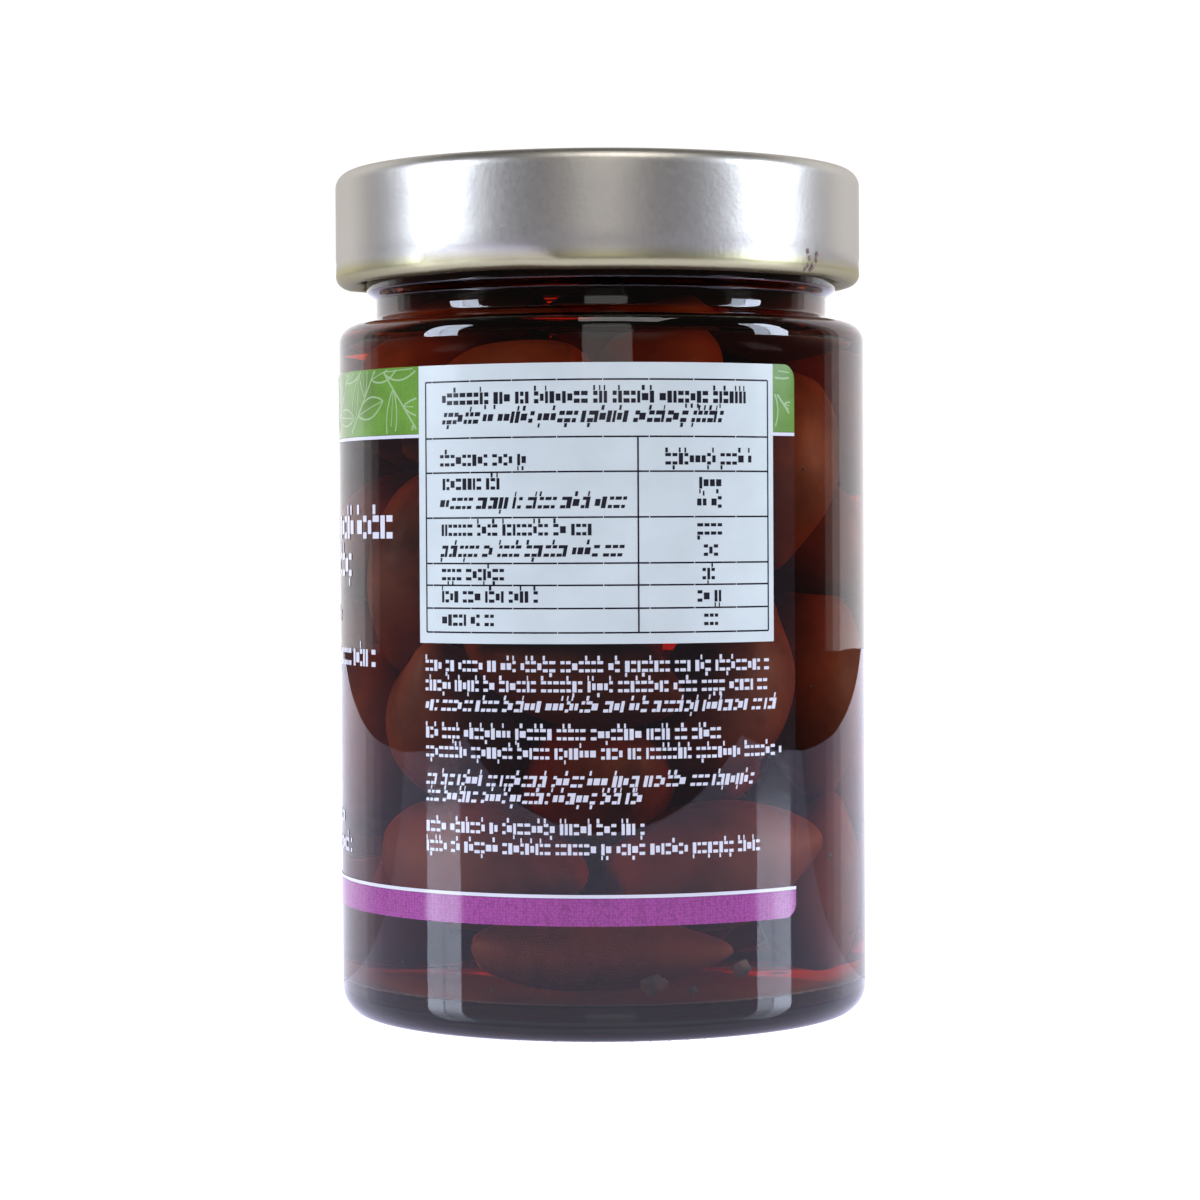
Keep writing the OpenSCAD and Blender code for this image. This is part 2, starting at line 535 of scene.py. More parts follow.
def print_material(name, colour, dots=0.0, patch=0.05):
    """Ink on film: gloss, a screen of fine dots where it is a tint, and a slight mottle."""
    recipe = Recipe(name, {"Roughness": 0.12})
    place = recipe.place()
    mottle = recipe.noise(place, 140.0, 3.0)
    base = recipe.ramp(mottle, [(0.3, shade(colour, 1 - patch)), (0.7, shade(colour, 1 + patch))])
    if dots > 0:
        screen = add_node(
            recipe.nodes, "TexVoronoi", {"Scale": 2600.0, "Randomness": 0.55}
        )
        recipe.link(place, screen.inputs["Vector"])
        lighter = recipe.spread(screen.outputs["Distance"], 1 + dots, 1 - dots)
        mix = add_node(recipe.nodes, "VectorMath")
        mix.operation = "SCALE"
        recipe.link(base, mix.inputs[0])
        recipe.link(lighter, mix.inputs["Scale"])
        base = mix.outputs["Vector"]
    recipe.feed(base, "Base Color")
    recipe.bump(recipe.noise(place, 90.0, 2.0), 0.05, 0.2 * MM)
    return recipe.material


# ---------------------------------------------------------------- glass


def glass_outline():
    """Whole section of the glass, from the underside's middle round to the floor's middle."""
    ring_z = 0.35
    underside = []
    for i in range(9):
        t = i / 8
        underside.append((RING_IN_R * t, 2.2 * (1 - t ** 4) + ring_z * t ** 4))
    bearing = [(31.25, ring_z), (31.7, ring_z), (32.15, ring_z)]
    heel = arc(BODY_R - HEEL_R, HEEL_R, HEEL_R, -90, 0, 12)
    heel = [(r, max(z, ring_z)) for r, z in heel if r > 32.9]
    side = [(BODY_R, z) for z in (4.4, 5.4, 12.0, 30.0, 50.0, 70.0, 86.0, 92.5)]
    shoulder = arc(BODY_R - SHOULDER_R, NECK_Z - SHOULDER_RISE - SHOULDER_R, SHOULDER_R, 0, 90, 10)
    neck = arc(WAIST_R + NECK_CURVE_R, NECK_Z + NECK_CURVE_R, NECK_CURVE_R, 270, 180, 6)
    step = []
    step_in = FINISH_R - WAIST_R
    for i in range(9):
        t = i / 8
        step.append((
            WAIST_R + step_in * (1 - math.cos(math.pi * t)) / 2, FINISH_Z - step_in * (1 - t)
        ))
    finish = [(FINISH_R, 102.0), (FINISH_R, 104.2), (FINISH_R, 106.6), (FINISH_R, 110.0)]
    rim = arc(FINISH_R - RIM_CURVE_R, RIM_Z - RIM_CURVE_R, RIM_CURVE_R, 0, 90, 6)
    rim += arc(MOUTH_R + RIM_CURVE_R, RIM_Z - RIM_CURVE_R, RIM_CURVE_R, 90, 180, 6)
    bore = [(MOUTH_R, FILL_Z), (MOUTH_R, 100.0)]
    outside = underside + bearing + heel + side + shoulder + neck + step + finish
    return outside + rim + bore + list(reversed(inside_outline(0.0)))


def inside_outline(gap):
    """The glass's inside from the floor's middle to the neck, moved in by a gap."""
    floor_r = 3.5
    neck_r = NECK_CURVE_R
    return (
        [(0.0, FLOOR_Z + gap), (10.0, FLOOR_Z - 0.1 + gap), (20.0, FLOOR_Z - 0.42 + gap)]
        + arc(FILL_R - floor_r, FLOOR_EDGE_Z + floor_r, floor_r - gap, -90, 0, 10)
        + [(FILL_R - gap, z) for z in (8.4, 20.0, 50.0, 75.0, 90.6)]
        + arc(FILL_R - SHOULDER_R, CEILING_Z - SHOULDER_R, SHOULDER_R - gap, 0, 90, 8)
        + arc(MOUTH_R + neck_r, CEILING_Z + neck_r, neck_r + gap, 270, 180, 6)
    )


def is_wet(centre):
    """True for the glass's inner faces that brine touches."""
    r = axis_distance(centre)
    z = centre.z / MM
    if z > FILL_Z:
        return False
    if z < CEILING_Z + 0.05:
        return r < FILL_R + 0.1 and z > 4.3
    return r < MOUTH_R + 0.95 and z < CEILING_Z + 1.0 or r < MOUTH_R + 0.3


class OLIVEJAR_OT_glass(bpy.types.Operator):
    """Add the glass jar"""

    bl_idname = "olive_jar.glass"
    bl_label = "Glass"

    def execute(self, context):
        sizes = context.scene.olive_jar_glass
        glass = lathe("jar_glass", glass_outline(), sizes.segments)
        self.press_bumps(glass, sizes)
        self.raise_threads(glass)
        smooth(glass, 50.0)
        # The stippled underside and the base glass are darkened by tones of 0.08 and 0.012:
        # painted shade that makes the base look dark.
        finishes = (
            ("jar glass", GLASS_IOR, 0.01, 1.0),
            ("jar glass wet side", GLASS_IOR / BRINE_IOR, 0.01, 1.0),
            ("stippled underside with painted shade", GLASS_IOR, 0.4, 0.08),
            ("thick base glass with painted shade", GLASS_IOR, 0.03, 0.012),
        )
        for name, ior, roughness, tone in finishes:
            glass.data.materials.append(glass_material(name, ior, sizes.tint, roughness, tone))
        for face in glass.data.polygons:
            face.material_index = self.finish_of(face.center)
        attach(glass, "root")
        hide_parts("jar")
        return {"FINISHED"}

    def finish_of(self, centre):
        """Number of the finish that a face of the glass takes, by the face's middle."""
        underside_z, base_z = 2.3 * MM, 5.2 * MM
        # Finishes 2 and 3, the stippled underside and the base glass, are the ones darkened as
        # painted shade.
        if centre.z < underside_z and axis_distance(centre) < 32.4:
            return 2
        if is_wet(centre):
            return 1
        return 3 if centre.z < base_z else 0

    def press_bumps(self, glass, sizes):
        """Pulls the bearing ring down into short grip bumps, one to every five columns."""
        bpy.ops.object.mode_set(mode="EDIT")
        step = 360.0 / sizes.segments
        for phase, drop in ((1, 0.7), (2, 1.0), (3, 0.7)):
            select_vertices(glass, lambda co: (
                31.0 < axis_distance(co) < 32.6 and co.z < 0.4 * MM
                and round((turn_of(co) % 360.0) / step) % 5 == phase
            ))
            bpy.ops.transform.translate(value=(0, 0, -drop * sizes.bump_height))
        bpy.ops.object.mode_set(mode="OBJECT")

    def raise_threads(self, glass):
        """Raises the four threads on the finish."""
        low_z, high_z, half_length = 104.3, 106.5, 26.0
        grow = 1 + 1.4 / FINISH_R
        bpy.ops.object.mode_set(mode="EDIT")
        bpy.ops.mesh.select_all(action="DESELECT")
        mesh = bmesh.from_edit_mesh(glass.data)
        for face in mesh.faces:
            centre = face.calc_center_median()
            outer = axis_distance(centre) > 32.0 and low_z < centre.z / MM < high_z
            face.select_set(outer and turn_from_lug(centre) < half_length)
        bmesh.update_edit_mesh(glass.data)
        bpy.ops.mesh.extrude_region_move()
        bpy.ops.transform.resize(
            value=(grow, grow, 0.6), center_override=(0, 0, (low_z + high_z) / 2 * MM)
        )
        bpy.ops.object.mode_set(mode="OBJECT")


# ---------------------------------------------------------------- contents


class OLIVEJAR_OT_brine(bpy.types.Operator):
    """Add the brine, which reaches just into the glass wall"""

    bl_idname = "olive_jar.brine"
    bl_label = "Brine"

    def execute(self, context):
        sizes = context.scene.olive_jar_contents
        overlap = 0.2
        outline = inside_outline(-overlap)
        edge = MOUTH_R + overlap
        outline += [(edge, 100.0), (edge, FILL_Z + 0.35)]
        surface = [(MOUTH_R - 0.1, FILL_Z + 0.2), (MOUTH_R - 0.6, FILL_Z + 0.05)]
        surface += [(MOUTH_R - 1.6, FILL_Z), (20.0, FILL_Z), (8.0, FILL_Z), (0.0, FILL_Z)]
        brine = lathe("brine_liquid", outline + surface, 192)
        smooth(brine, 60.0)
        for name, ior in (("brine side", 1.0), ("brine surface", BRINE_IOR)):
            brine.data.materials.append(
                brine_material(name, ior, sizes.brine, sizes.brine_density)
            )
        for face in brine.data.polygons:
            inner = axis_distance(face.center) < edge - 0.05
            face.material_index = 1 if face.center.z / MM > FILL_Z - 0.5 and inner else 0
        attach(brine, "root")
        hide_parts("brine")
        return {"FINISHED"}


def olive_shape(name, seed):
    """One olive, 1 unit long and thick and lying along X, with a pointed tip and a stem scar."""
    draw = random.Random(seed)
    clear_selection()
    bpy.ops.mesh.primitive_uv_sphere_add(
        segments=28, ring_count=18, radius=0.5, rotation=(0, math.pi / 2, 0)
    )
    olive = take(name)
    bpy.ops.object.mode_set(mode="EDIT")
    bpy.ops.mesh.select_all(action="SELECT")
    half = 0.5
    for reach, pinch, pull in ((0.62, 0.94, 0.02), (0.80, 0.90, 0.03), (0.93, 0.80, 0.05)):
        select_vertices(olive, lambda co: co.x > reach * half)
        bpy.ops.transform.resize(value=(1, pinch, pinch), center_override=(0, 0, 0))
        bpy.ops.transform.translate(value=(pull, 0, 0))
    select_vertices(olive, lambda co: co.x < -0.975 * half)
    bpy.ops.transform.translate(value=(0.05, 0, 0))
    bpy.ops.object.mode_set(mode="OBJECT")
    roughen(olive, 0.7 + 0.2 * draw.random(), 0.14)
    rounded = olive.modifiers.new("rounding", "SUBSURF")
    rounded.levels = 1
    rounded.render_levels = 1
    apply_modifiers(olive)
    smooth(olive, 80.0)
    return olive


# Olives that show at the wall: turn from the front and height of the middle, in degrees and mm,
# then the lean of the long axis from level, the length and the thickness in mm
WALL_OLIVES = (
    (-32.5, 28.0, 3.0, 28.0, 18.5),
    (18.5, 28.0, -5.0, 27.0, 18.0),
    (-4.5, 10.6, 0.0, 32.0, 11.0),
    (-48.0, 59.0, 80.0, 26.0, 17.5),
    (16.5, 80.5, 68.0, 24.0, 15.5),
    (-14.0, 47.0, -20.0, 27.0, 17.5),
    (28.0, 50.0, 75.0, 26.0, 17.0),
    (0.0, 63.0, 15.0, 27.0, 18.0),
    (60.0, 76.0, 75.0, 26.0, 17.5),
    (67.0, 45.0, 85.0, 27.0, 17.5),
    (66.0, 18.0, 85.0, 24.0, 15.5),
    (-75.0, 40.0, 70.0, 27.0, 17.5),
    (-30.0, 82.0, 20.0, 26.0, 17.0),
)


def settle_olives(count, thickness, seed=11):
    """Spreads olives in the jar: each counts as three balls, which are pushed apart.

    Those at the wall hold their places firmly, and the rest give way."""
    end_share = 0.36
    hold = 0.85
    cycles, fast_cycles = 1000, 900
    draw = np.random.default_rng(seed)
    spots, axes, lengths, widths, fixed = [], [], [], [], []
    for turn, z, lean, length, width in WALL_OLIVES:
        a = math.radians(turn)
        tilt = math.radians(lean)
        r = FILL_R - 0.5 - width / 2
        spots.append((r * math.sin(a), -r * math.cos(a), z))
        across = np.array((math.cos(a), math.sin(a), 0.0))
        axes.append(across * math.cos(tilt) + np.array((0, 0, math.sin(tilt))))
        lengths.append(length)
        widths.append(width)
        fixed.append(hold)
    while len(spots) < count:
        r = 25.0 * math.sqrt(draw.random())
        a = draw.random() * 2 * math.pi
        spots.append((r * math.cos(a), r * math.sin(a), 12.0 + 84.0 * draw.random()))
        axis = draw.normal(size=3)
        axes.append(axis / np.linalg.norm(axis))
        lengths.append(24.0 + 4.0 * draw.random())
        widths.append(thickness * (0.93 + 0.12 * draw.random()))
        fixed.append(0.0)
    spots = np.array(spots, float)
    axes = np.array(axes, float)
    lengths = np.array(lengths)
    widths = np.array(widths)
    free = 1.0 - np.array(fixed)
    owner = np.repeat(np.arange(count), 3)
    place = np.tile([-1.0, 0.0, 1.0], count)
    reach = (lengths / 2 - widths * end_share)[owner] * place * 0.93
    radius = np.where(place == 0, widths[owner] / 2, widths[owner] * end_share)
    lever = (place / np.maximum(np.abs(reach), 6.0))[:, None]
    for cycle in range(cycles):
        balls = spots[owner] + axes[owner] * reach[:, None]
        gap = balls[:, None, :] - balls[None, :, :]
        far = np.linalg.norm(gap, axis=2) + 1e-9
        deep = radius[:, None] + radius[None, :] + 0.1 - far
        deep[owner[:, None] == owner[None, :]] = 0
        deep = np.clip(deep, 0, None)
        ease = 0.35 if cycle < fast_cycles else 0.2
        push = (gap / far[..., None] * deep[..., None]).sum(axis=1) * ease
        flat = np.linalg.norm(balls[:, :2], axis=1) + 1e-9
        wall = np.where(balls[:, 2] + radius > CEILING_Z - 0.6, MOUTH_R - 0.8, FILL_R)
        out = np.clip(flat + radius - wall + 1.1 + 0.5 * np.abs(place), 0, None)
        push[:, :2] -= balls[:, :2] / flat[:, None] * out[:, None] * 0.8
        push[:, 2] += np.clip(FLOOR_Z + 0.3 + radius - balls[:, 2], 0, None) * 0.8
        push[:, 2] -= np.clip(balls[:, 2] + radius - FILL_Z + 0.8, 0, None) * 0.8
        move = np.zeros_like(spots)
        twist = np.zeros_like(spots)
        np.add.at(move, owner, push)
        np.add.at(twist, owner, push * lever)
        spots += move * free[:, None] * 0.6
        axes += twist * free[:, None] * 0.25
        axes /= np.linalg.norm(axes, axis=1)[:, None]
    return spots, axes, lengths, widths


class OLIVEJAR_OT_olives(bpy.types.Operator):
    """Add the olives in the brine"""

    bl_idname = "olive_jar.olives"
    bl_label = "Olives"

    def execute(self, context):
        sizes = context.scene.olive_jar_contents
        shapes = [olive_shape(f"olive_shape_{i}", 20 + i) for i in range(4)]
        spots, axes, lengths, widths = settle_olives(
            sizes.olive_count, sizes.olive_thickness / MM
        )
        draw = random.Random(5)
        copies = []
        for spot, axis, length, width in zip(spots, axes, lengths, widths):
            shape = draw.choice(shapes)
            copy = shape.copy()
            copy.data = shape.data.copy()
            context.collection.objects.link(copy)
            along = Vector(axis)
            if draw.random() < 0.5:
                along = -along
            turn = along.to_track_quat("X", "Z").to_matrix().to_4x4()
            roll = Matrix.Rotation(draw.uniform(0, 2 * math.pi), 4, "X")
            size = Matrix.Diagonal((length * MM, width * MM, width * MM, 1.0))
            copy.data.transform(Matrix.Translation(Vector(spot) * MM) @ turn @ size @ roll)
            copies.append(copy)
        for shape in shapes:
            bpy.data.objects.remove(shape)
        olives = join(copies, "olives")
        smooth(olives, 80.0)
        olives.data.materials.append(olive_material(sizes.skin))
        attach(olives, "root")
        return {"FINISHED"}


# Crumbs on the inside of the wall: turn in degrees, then place's height, width and height in mm
CRUMBS = (
    (10.6, 7.8, 2.8, 2.6), (12.5, 8.1, 1.5, 1.0), (19.6, 6.9, 0.9, 1.1), (31.3, 9.4, 2.4, 2.2),
    (59.5, 23.0, 0.8, 0.9), (-68.0, 7.6, 0.9, 0.8), (58.0, 15.0, 0.4, 0.4), (52.0, 46.0, 0.4, 0.5),
    (-25.0, 6.8, 0.5, 0.4), (50.0, 75.0, 0.5, 0.4), (70.0, 12.0, 0.7, 0.5), (-50.0, 9.5, 0.5, 0.4),
    (118.0, 9.0, 2.0, 1.5), (156.0, 7.5, 1.4, 1.2), (-120.0, 8.2, 1.8, 1.6), (90.0, 6.9, 1.0, 0.8),
)


class OLIVEJAR_OT_crumbs(bpy.types.Operator):
    """Add the crumbs of olive that stick to the inside of the wall"""

    bl_idname = "olive_jar.crumbs"
    bl_label = "Crumbs"

    def execute(self, context):
        draw = random.Random(3)
        crumbs = []
        for turn, z, width, height in CRUMBS:
            crumb = rough_ball("crumb", 0.35 * MM, 0.5 * MM, draw.uniform(0, 6.0))
            bpy.ops.object.mode_set(mode="EDIT")
            bpy.ops.mesh.select_all(action="SELECT")
            bpy.ops.transform.resize(value=(width, 0.3, height), center_override=(0, 0, 0))
            bpy.ops.object.mode_set(mode="OBJECT")
            set_round(crumb, turn, FILL_R - 0.3, z)
            crumbs.append(crumb)
        crumbs = join(crumbs, "olive_crumbs")
        smooth(crumbs, 60.0)
        crumbs.data.materials.append(sediment_material())
        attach(crumbs, "root")
        return {"FINISHED"}


# ---------------------------------------------------------------- lid


def lid_outline():
    """Closed section of the lid's sheet, from the panel's middle over the edge to the curl."""
    sheet = 0.3
    panel_z = LID_Z - 0.9
    panel_r = 28.5
    corner_r = 2.05
    edge_r = LID_R - corner_r
    edge_z = LID_Z - corner_r
    top = [(0.0, panel_z), (14.0, panel_z), (panel_r - 1.3, panel_z)]
    top += [(panel_r - 0.8, panel_z + 0.06), (panel_r - 0.4, panel_z + 0.45)]
    top += [(panel_r, LID_Z - 0.1), (panel_r + 0.5, LID_Z), (panel_r + 3.0, LID_Z)]
    top += arc(edge_r, edge_z, corner_r, 90, 0, 10)
    skirt = [(LID_R, 112.0), (LID_R, 109.0), (LID_R, 106.5), (LID_R, 104.6)]
    skirt += [(LID_R - 0.07, 104.0)]
    curl = arc(LID_R - CURL_R, CURL_MID_Z, CURL_R, 8, -225, 22)
    inner = [(LID_R - sheet, CURL_MID_Z + CURL_R + 0.2), (LID_R - sheet, 109.0)]
    inner += arc(edge_r, edge_z, corner_r - sheet, 0, 90, 8)
    inner += [(panel_r + sheet, LID_Z - sheet), (panel_r - 0.8, panel_z - sheet)]
    inner += [(14.0, panel_z - sheet), (0.0, panel_z - sheet)]
    return top + skirt + curl + inner


class OLIVEJAR_OT_lid(bpy.types.Operator):
    """Add the satin metal lid with its rolled edge and lugs"""

    bl_idname = "olive_jar.lid"
    bl_label = "Lid"

    def execute(self, context):
        sizes = context.scene.olive_jar_lid
        lid = lathe("lid_metal", lid_outline(), 240, centre_x=LID_X)
        self.press_lugs(lid)
        smooth(lid, 50.0)
        lid.data.materials.append(lid_material(sizes.metal, sizes.roughness))
        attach(lid, "root")
        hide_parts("lid")
        return {"FINISHED"}

    def press_lugs(self, lid):
        """Draws the roll inwards into four lugs, with the wave that this leaves in the edge."""
        bpy.ops.object.mode_set(mode="EDIT")
        centre = (LID_X * MM, 0, 102.0 * MM)
        for half in (15.5, 14.0, 12.5, 11.0, 9.5, 8.0):
            select_vertices(lid, lambda co: (
                co.z < (103.9 - 0.1 * half) * MM and axis_distance(co, LID_X) > 32.0
                and turn_from_lug(co, LID_X) < half
            ))
            bpy.ops.transform.resize(value=(0.998, 0.998, 1), center_override=centre)
            bpy.ops.transform.translate(value=(0, 0, 0.035 * MM))
        select_vertices(lid, lambda co: (
            30.0 < axis_distance(co, LID_X) < 34.6 and co.z < 103.0 * MM
            and turn_from_lug(co, LID_X) < 11.0
        ))
        bpy.ops.transform.resize(value=(0.985, 0.985, 1), center_override=centre)
        bpy.ops.object.mode_set(mode="OBJECT")


class OLIVEJAR_OT_smudges(bpy.types.Operator):
    """Add the two dried brown smudges at the lid's lower edge"""

    bl_idname = "olive_jar.smudges"
    bl_label = "Smudges"

    def execute(self, context):
        strokes = (
            ((50.2, 103.9), (50.7, 103.0), (50.2, 102.0), (49.6, 101.5)),
            ((53.6, 103.6), (53.2, 102.8), (52.2, 101.9), (51.8, 101.5)),
        )
        pieces = []
        for stroke in strokes:
            for turn, z in stroke:
                patch = rough_ball("patch", 0.3 * MM, 0.35 * MM)
                patch.data.transform(Matrix.Diagonal((0.55, 0.06, 0.75, 1.0)))
                r = LID_R
                tilt = 0.0
                if z < CURL_MID_Z:
                    tilt = math.asin(max(-0.99, (z - CURL_MID_Z) / CURL_R))
                    r = LID_R - CURL_R + CURL_R * math.cos(tilt)
                patch.data.transform(Matrix.Rotation(-tilt, 4, "X"))
                set_round(patch, turn, r, z, LID_X)
                pieces.append(patch)
        smudges = join(pieces, "lid_smudges")
        smooth(smudges, 60.0)
        smudges.data.materials.append(stain_material())
        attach(smudges, "root")
        return {"FINISHED"}


# ---------------------------------------------------------------- label

FILM_R = BODY_R + 0.012
PRINT_R = BODY_R + 0.065
INK_R = BODY_R + 0.085
FILM_T = 0.04
PRINT_T = 0.015
INK_T = 0.008
CORNER_R = 2.0

# The pale panel's left, right and lower edges, the green band's lower edge and its leaves' limits,
# and the magenta band's edges
PANEL_LEFT = -26.25
PANEL_RIGHT = 24.2
PANEL_LOW_Z = 52.3
GREEN_LOW_Z = 79.8
LEAF_LOW_Z = 79.95
LEAF_HIGH_Z = 88.5
MAGENTA_LOW_Z = 15.7
MAGENTA_HIGH_Z = 19.3
TOP_Z = 88.7
MARK_H = 1.5
WHITE_MARK_H = 1.45


def flat_sheet(name, left, right, low, high, radius, thickness, corners=(0, 0, 0, 0), rows=1):
    """A flat sheet in the XZ plane, subdivided along X, with rounded corners where asked.

    The corners are the radii at low left, low right, high right and high left."""
    columns = max(2, int((right - left) / 1.2))
    clear_selection()
    bpy.ops.mesh.primitive_grid_add(
        x_subdivisions=columns, y_subdivisions=rows, size=2.0,
        rotation=(math.pi / 2, 0, 0),
    )
    sheet = take(name)
    sheet.data.transform(Matrix.Diagonal(((right - left) / 2 * MM, 1, (high - low) / 2 * MM, 1)))
    sheet.data.transform(
        Matrix.Translation(Vector(((left + right) / 2, 0, (low + high) / 2)) * MM)
    )
    if any(corners):
        cut_corners(sheet, (left, right, low, high), corners)
    thicken(sheet, thickness)
    wrap(sheet, radius)
    return sheet


def cut_corners(sheet, sides, corners):
    """Cuts corners round with bisect planes along each corner's arc."""
    left, right, low, high = sides
    spots = (
        (left + corners[0], low + corners[0], 180.0, corners[0]),
        (right - corners[1], low + corners[1], 270.0, corners[1]),
        (right - corners[2], high - corners[2], 0.0, corners[2]),
        (left + corners[3], high - corners[3], 90.0, corners[3]),
    )
    make_active(sheet)
    bpy.ops.object.mode_set(mode="EDIT")
    for x, z, start, radius in spots:
        if radius <= 0:
            continue
        for i in range(6):
            a = math.radians(start + 7.5 + 15.0 * i)
            normal = (math.cos(a), 0, math.sin(a))
            point = Vector((x, 0, z)) * MM + Vector(normal) * radius * MM
            bpy.ops.mesh.select_all(action="SELECT")
            bpy.ops.mesh.bisect(plane_co=point, plane_no=normal, clear_outer=True)
    bpy.ops.object.mode_set(mode="OBJECT")


class Stamp:
    """Collects flat copies of one small shape into a single mesh."""

    def __init__(self, name):
        self.name = name
        self.mesh = bmesh.new()
        clear_selection()
        bpy.ops.mesh.primitive_plane_add(size=1.0, rotation=(math.pi / 2, 0, 0))
        self.block = take("block")
        clear_selection()
        bpy.ops.mesh.primitive_circle_add(
            vertices=8, radius=0.5, fill_type="NGON", rotation=(math.pi / 2, 0, 0)
        )
        self.round = take("round_block")

    def add(self, x, z, width, height, slant=0.0, turn=0.0, rounded=False):
        """Adds one block with its lower left corner at x, z, in millimetres."""
        shape = (self.round if rounded else self.block).data.copy()
        lean = Matrix.Identity(4)
        lean[0][2] = slant
        shape.transform(
            Matrix.Translation(Vector((x + width / 2, 0, z + height / 2)) * MM)
            @ Matrix.Rotation(turn, 4, "Y")
            @ lean
            @ Matrix.Diagonal((width * MM, 1, height * MM, 1))
        )
        self.mesh.from_mesh(shape)
        bpy.data.meshes.remove(shape)

    def finish(self, radius, thickness):
        """Makes the collected copies one piece, bent round the jar."""
        mesh = bpy.data.meshes.new(self.name)
        self.mesh.to_mesh(mesh)
        self.mesh.free()
        piece = bpy.data.objects.new(self.name, mesh)
        bpy.context.collection.objects.link(piece)
        bpy.data.objects.remove(self.block)
        bpy.data.objects.remove(self.round)
        thicken(piece, thickness)
        wrap(piece, radius)
        return piece


def row_of_marks(stamp, draw, left, right, z, height, italic=False, bold=False):
    """Fills one printed row with small plain blocks in word-like groups, which spell nothing."""
    x = left
    slant = 0.2 if italic else 0.0
    ink = 0.36 if bold else 0.28
    gap = height * 0.13
    while x < right - height * 0.4:
        for _ in range(draw.randint(2, 9)):
            wide = height * draw.uniform(0.30, 0.56)
            if x + wide > right:
                break
            kind = draw.random()
            if kind < 0.50:
                stamp.add(x, z, wide, height * ink, slant)
                stamp.add(x + slant * height, z + height * (1 - ink), wide, height * ink, slant)
            elif kind < 0.75:
                stamp.add(x, z, wide * 0.75, height, slant)
                wide *= 0.75
            else:
                stamp.add(x, z + height * 0.2, wide, height * 0.6, slant)
            if draw.random() < 0.25:
                tall = height * 0.42
                stamp.add(x + slant * height, z + height * 1.05, wide * 0.45, tall, slant)
            elif draw.random() < 0.12:
                stamp.add(x, z - height * 0.42, wide * 0.45, height * 0.36, slant)
            x += wide + gap
        x += height * 0.34


def leaf_outline(stamp, x, z, length, width, turn, line, field):
    """Draws the outline of one pointed leaf with a midrib from short strokes."""
    steps = 16
    for side in (-1, 1):
        points = []
        for i in range(steps + 1):
            t = i / steps
            points.append((length * t, side * width / 2 * math.sin(math.pi * t) ** 0.8))
        stroke_path(stamp, turned(points, x, z, turn), line, field)
    midrib = [(length * i / 8, 0.0) for i in range(9)]
    stroke_path(stamp, turned(midrib, x, z, turn), line * 0.6, field)


def turned(points, x, z, turn):
    """Turns points about the start of a leaf and moves them to x, z."""
    c, s = math.cos(turn), math.sin(turn)
    return [(x + px * c - pz * s, z + px * s + pz * c) for px, pz in points]


def stroke_path(stamp, points, line, field):
    """Draws a path in short strokes, leaving out those beyond the field's sides."""
    left, right, low, high = field
    for (x0, z0), (x1, z1) in zip(points, points[1:]):
        if not (left < min(x0, x1) and max(x0, x1) < right):
            continue
        if not (low < min(z0, z1) and max(z0, z1) < high):
            continue
        length = math.hypot(x1 - x0, z1 - z0) + line * 0.4
        stamp.add(
            (x0 + x1) / 2 - length / 2, (z0 + z1) / 2 - line / 2, length, line,
            turn=-math.atan2(z1 - z0, x1 - x0),
        )


def sides_of_label():
    """The flat label's left and right edges, in millimetres from the front."""
    return tuple(math.radians(turn) * LABEL_R for turn in (LABEL_START, LABEL_END))


def ink_sheet(name, left, right, low, high, corners=(0, 0, 0, 0)):
    return flat_sheet(name, left, right, low, high, PRINT_R, PRINT_T, corners)


class OLIVEJAR_OT_film(bpy.types.Operator):
    """Add the clear film of the label"""

    bl_idname = "olive_jar.film"
    bl_label = "Label film"

    def execute(self, context):
        left, right = sides_of_label()
        film = flat_sheet(
            "label_film", left, right, LABEL_LOW_Z, LABEL_HIGH_Z, FILM_R, FILM_T,
            corners=(CORNER_R,) * 4, rows=2,
        )
        smooth(film, 40.0)
        film.data.materials.append(film_material())
        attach(film, "root")
        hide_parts("label")
        return {"FINISHED"}


